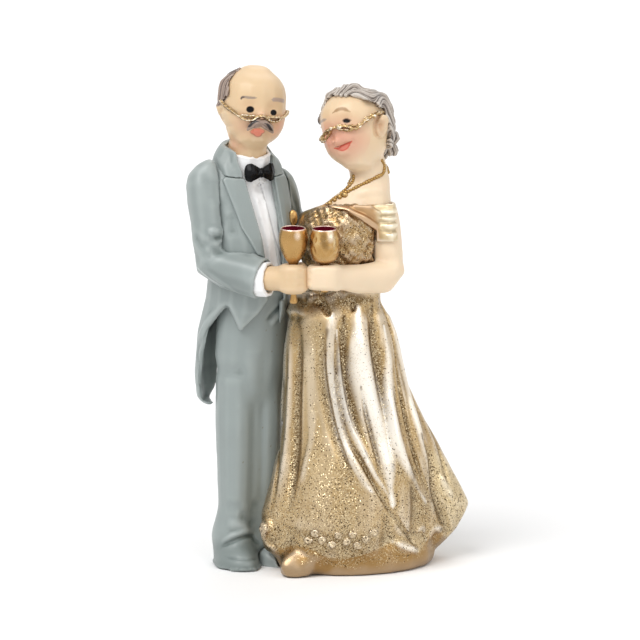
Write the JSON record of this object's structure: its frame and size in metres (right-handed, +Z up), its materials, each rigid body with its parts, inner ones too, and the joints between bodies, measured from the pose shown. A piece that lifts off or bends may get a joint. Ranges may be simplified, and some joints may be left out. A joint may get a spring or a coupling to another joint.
{
  "type": "anniversary cake topper",
  "caption": "Painted resin cake topper: an elderly couple toasting with gold goblets, the groom in a grey tailcoat, the bride in a long gold gown with a train.",
  "frame": {"origin": "on the surface the topper stands on, under the middle of its bounding box", "axes": "+Z up; -Y the front, where the goblets meet; the groom stands on the -X side and the gown's train runs out to +X"},
  "size_m": [0.0618, 0.0336, 0.1093],
  "materials": {
    "suit_paint": "satin",
    "linen_paint": "satin",
    "black_gloss": "gloss",
    "skin_paint": "satin",
    "hair_paint": "satin",
    "gold_paint": "satin",
    "glitter_gold": "gloss",
    "wine_paint": "gloss"
  },
  "bodies": {
    "root": {"groom_trousers": "suit_paint", "groom_right_shoe": "suit_paint", "groom_left_shoe": "suit_paint", "groom_shirt": "linen_paint", "groom_tailcoat": "suit_paint", "groom_shirt_collar": "linen_paint", "groom_shirt_placket": "linen_paint", "groom_coat_collar": "suit_paint", "groom_right_lapel": "suit_paint", "groom_left_lapel": "suit_paint", "groom_bow_tie": "black_gloss", "groom_pocket_square": "gold_paint", "groom_back_button_right": "suit_paint", "groom_back_button_left": "suit_paint", "groom_right_sleeve": "suit_paint", "groom_left_sleeve": "suit_paint", "groom_right_cuff": "linen_paint", "groom_left_cuff": "linen_paint", "groom_left_hand": "skin_paint", "groom_right_hand": "skin_paint", "groom_head": "skin_paint", "groom_hair": "hair_paint", "groom_moustache": "hair_paint", "groom_spectacles": "gold_paint", "groom_goblet": "gold_paint", "groom_wine": "wine_paint", "bride_goblet": "gold_paint", "bride_wine": "wine_paint", "bride_left_hand": "skin_paint", "bride_shoe": "gold_paint", "gown_underskirt": "gold_paint", "gown_skirt": "glitter_gold", "gown_bodice": "glitter_gold", "bride_shoulders": "skin_paint", "bride_left_arm": "skin_paint", "bride_right_arm": "skin_paint", "bride_right_hand": "skin_paint", "gown_shoulder_drape": "gold_paint", "bride_necklace": "gold_paint", "bride_head": "skin_paint", "bride_hair": "hair_paint", "bride_hair_bun": "hair_paint", "bride_spectacles": "gold_paint"}
  },
  "joints": []
}
